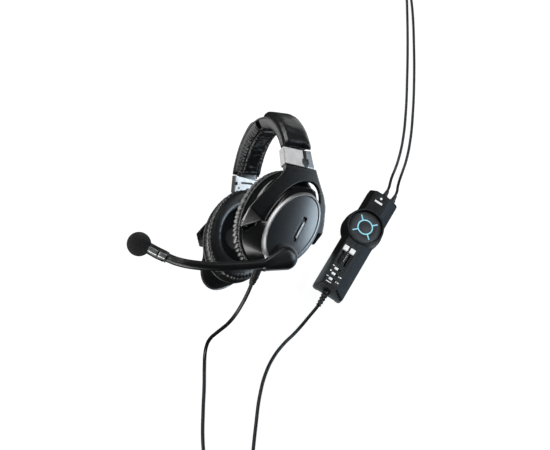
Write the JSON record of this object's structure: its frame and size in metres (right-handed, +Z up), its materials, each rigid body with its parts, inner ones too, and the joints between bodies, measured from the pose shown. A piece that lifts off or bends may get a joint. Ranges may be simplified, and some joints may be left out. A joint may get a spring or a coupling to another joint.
{
  "type": "aviation headset",
  "caption": "Over-ear aviation headset with leather headband, tilting ear cups on yokes, boom microphone and an in-line control module with cords and plugs.",
  "frame": {"origin": "centre of the resting outline of the headset and its module, on the surface that they lie on; the cords are left out", "axes": "+Z up from the surface, +Y from the ear cups towards the crown of the headband, +X towards the back of the wearer's head; the wearer's left ear cup is the upper one"},
  "size_m": [0.4593, 0.804, 0.2099],
  "materials": {
    "cushion": "pleated gloss leatherette",
    "baffle_cloth": "acoustic cloth",
    "shell": "satin black moulding",
    "panel": "brushed dark oval cover",
    "bright_trim": "bright rim and accent bar",
    "driver": "loudspeaker capsule",
    "yoke": "satin black",
    "slide_steel": "stamped steel",
    "band_core": "plain",
    "piping": "grey edge piping",
    "band_leather": "smooth leather",
    "pad_leather": "soft wrinkled leather",
    "block_metal": "satin cast",
    "badge": "dark strip",
    "screw_steel": "dark screws",
    "boom": "satin black",
    "foam": "open-cell foam",
    "module_case": "fine texture",
    "button": "satin",
    "glow": "lit ring and four bars",
    "white": "white",
    "pcb": "circuit board",
    "cells": "battery cells",
    "relief_rubber": "ribbed sleeves",
    "cord": "cable sheath",
    "plug_body": "plug handle",
    "plug_metal": "plated contact"
  },
  "bodies": {
    "left_cup": {"left_cushion": "cushion", "left_baffle": "baffle_cloth", "left_shell": "shell", "left_panel": "panel", "left_trim": "bright_trim", "left_driver": "driver", "cord_gland": "relief_rubber", "boom_pin": "boom", "module_top": "module_case", "module_base": "module_case", "status_marks": "white", "module_pcb": "pcb", "battery_cells": "cells", "belt_clip": "module_case", "module_screws": "screw_steel", "module_relief": "relief_rubber", "lead_reliefs": "relief_rubber", "main_cord": "cord", "main_coil": "cord", "lead_a": "cord", "lead_b": "cord", "lead_coil": "cord", "plug_a_body": "plug_body", "plug_a_pin": "plug_metal", "plug_b_body": "plug_body", "plug_b_pin": "plug_metal"},
    "boom": {"boom_hub": "boom", "boom_tube": "boom", "mic_body": "boom", "windscreen": "foam"},
    "left_fork": {"left_yoke": "yoke", "left_stem": "slide_steel"},
    "headband": {"band_spring": "slide_steel", "band_core": "band_core", "band_piping": "piping", "left_cover": "band_leather", "right_cover": "band_leather", "left_pad": "pad_leather", "right_pad": "pad_leather", "left_block": "block_metal", "right_block": "block_metal", "block_badges": "badge", "block_screws": "screw_steel"},
    "right_fork": {"right_yoke": "yoke", "right_stem": "slide_steel"},
    "right_cup": {"right_cushion": "cushion", "right_baffle": "baffle_cloth", "right_shell": "shell", "right_panel": "panel", "right_trim": "bright_trim", "right_driver": "driver"},
    "button": {"button_disc": "button", "button_glow": "glow"},
    "knob_a": {"knob_a": "white"},
    "knob_b": {"knob_b": "white"},
    "switch_a": {"switch_a": "white"},
    "switch_b": {"switch_b": "white"},
    "switch_c": {"switch_c": "white"},
    "battery_door": {"battery_door": "module_case"}
  },
  "joints": [
    {"name": "boom_swing", "type": "hinge", "parent": "left_cup", "child": "boom", "pos_m": [-0.0355, -0.0834, 0.203], "axis": [0, 0, 1], "range_deg": [-25, 70]},
    {"name": "left_tilt", "type": "hinge", "parent": "left_cup", "child": "left_fork", "pos_m": [-0.0275, -0.0469, 0.163], "axis": [0.9882, -0.153, 0], "range_deg": [-2, 7]},
    {"name": "left_height", "type": "slide", "parent": "left_fork", "child": "headband", "axis": [0, 0.9763, -0.2164], "range_m": [0, 0.016]},
    {"name": "right_height", "type": "slide", "parent": "headband", "child": "right_fork", "axis": [0, -0.9763, -0.2164], "range_m": [0, 0.016]},
    {"name": "right_tilt", "type": "hinge", "parent": "right_fork", "child": "right_cup", "pos_m": [-0.0275, -0.0469, 0.033], "axis": [0.9882, -0.153, 0], "range_deg": [-2, 7]},
    {"name": "button_press", "type": "slide", "parent": "left_cup", "child": "button", "axis": [0.204, -0.13, -0.9703], "range_m": [0, 0.0015], "stiffness_N_per_m": 400, "springref_m": -0.0015},
    {"name": "knob_a_slide", "type": "slide", "parent": "left_cup", "child": "knob_a", "axis": [-0.5373, -0.8434, 0], "range_m": [0, 0.02]},
    {"name": "knob_b_slide", "type": "slide", "parent": "left_cup", "child": "knob_b", "axis": [-0.5373, -0.8434, 0], "range_m": [0, 0.02]},
    {"name": "switch_a_slide", "type": "slide", "parent": "left_cup", "child": "switch_a", "axis": [0.8183, -0.5213, 0.2419], "range_m": [0, 0.0035]},
    {"name": "switch_b_slide", "type": "slide", "parent": "left_cup", "child": "switch_b", "axis": [0.8183, -0.5213, 0.2419], "range_m": [0, 0.0035]},
    {"name": "switch_c_slide", "type": "slide", "parent": "left_cup", "child": "switch_c", "axis": [0.8183, -0.5213, 0.2419], "range_m": [0, 0.0035]},
    {"name": "battery_door_slide", "type": "slide", "parent": "left_cup", "child": "battery_door", "axis": [-0.5373, -0.8434, 0], "range_m": [0, 0.018]}
  ]
}
